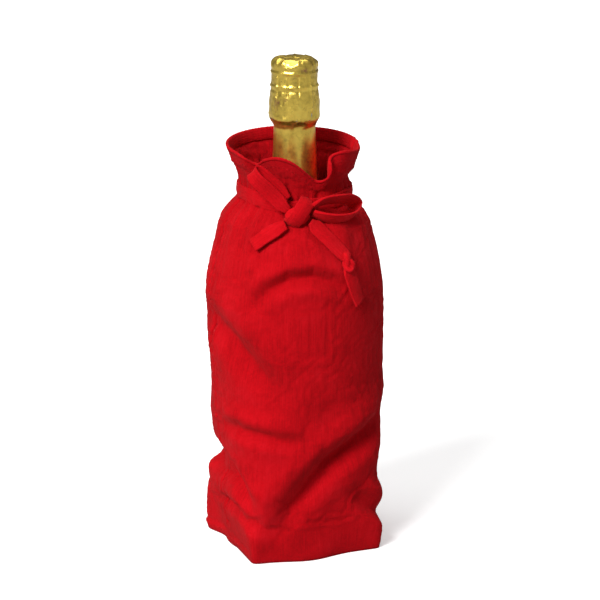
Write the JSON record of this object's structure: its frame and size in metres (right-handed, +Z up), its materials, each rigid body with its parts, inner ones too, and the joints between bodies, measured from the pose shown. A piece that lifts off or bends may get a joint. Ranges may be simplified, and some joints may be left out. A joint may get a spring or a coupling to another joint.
{
  "type": "wine gift bag",
  "caption": "Soft fabric gift bag with boxed base, tied at the neck with a bow of folded tape, holding a corked sparkling-wine bottle with a foil-wrapped neck.",
  "frame": {"origin": "centre of the underside of the bag's square base, on the surface it stands on", "axes": "+Z up through the bottle's mouth; the bow faces -Y; +X to the right seen from the front"},
  "size_m": [0.1176, 0.1188, 0.3243],
  "materials": {
    "bag_cloth": "matte brushed cotton",
    "seam_thread": "matte twisted thread",
    "tie_tape": "matte folded cotton tape",
    "bottle_glass": "dark green glass",
    "wine": "still liquid, pale gold",
    "cork": "natural cork",
    "cage_wire": "drawn wire",
    "cap_plate": "pressed tin plate",
    "gold_foil": "crinkled satin gold foil",
    "label_paper": "uncoated paper, blank"
  },
  "bodies": {
    "bag": {"front_panel": "bag_cloth", "back_panel": "bag_cloth", "left_seam_thread": "seam_thread", "right_seam_thread": "seam_thread", "left_corner_thread": "seam_thread", "right_corner_thread": "seam_thread", "rim_hem": "bag_cloth", "hem_thread": "seam_thread", "neck_band": "tie_tape", "tie_tack": "seam_thread", "bow_knot": "tie_tape"},
    "loop_left": {"loop_left": "tie_tape"},
    "loop_right": {"loop_right": "tie_tape"},
    "tail_left": {"tail_left": "tie_tape"},
    "tail_right": {"tail_right": "tie_tape", "tail_knot": "tie_tape", "tail_tip": "tie_tape"},
    "bottle": {"glass_bottle": "bottle_glass", "wine": "wine", "cork": "cork", "cage_cap": "cap_plate", "wire_cage": "cage_wire", "foil_hood": "gold_foil", "front_label": "label_paper", "back_label": "label_paper"}
  },
  "joints": [
    {"name": "bottle_lift", "type": "slide", "parent": "bag", "child": "bottle", "axis": [0, 0, 1], "range_m": [0, 0.045]},
    {"name": "loop_left_lift", "type": "hinge", "parent": "bag", "child": "loop_left", "pos_m": [-0.018, -0.037, 0.237], "axis": [0.5682, -0.2692, 0.7776], "range_deg": [0, 40], "stiffness_Nm_per_rad": 0.003},
    {"name": "loop_right_lift", "type": "hinge", "parent": "bag", "child": "loop_right", "pos_m": [-0.003, -0.043, 0.233], "axis": [0.0499, 0, -0.9988], "range_deg": [0, 40], "stiffness_Nm_per_rad": 0.003},
    {"name": "tail_left_lift", "type": "hinge", "parent": "bag", "child": "tail_left", "pos_m": [-0.021, -0.041, 0.225], "axis": [-0.488, 0.249, 0.8366], "range_deg": [0, 35]},
    {"name": "tail_right_lift", "type": "hinge", "parent": "bag", "child": "tail_right", "pos_m": [-0.003, -0.046, 0.224], "axis": [-0.7404, 0.05, -0.6703], "range_deg": [0, 60]}
  ]
}
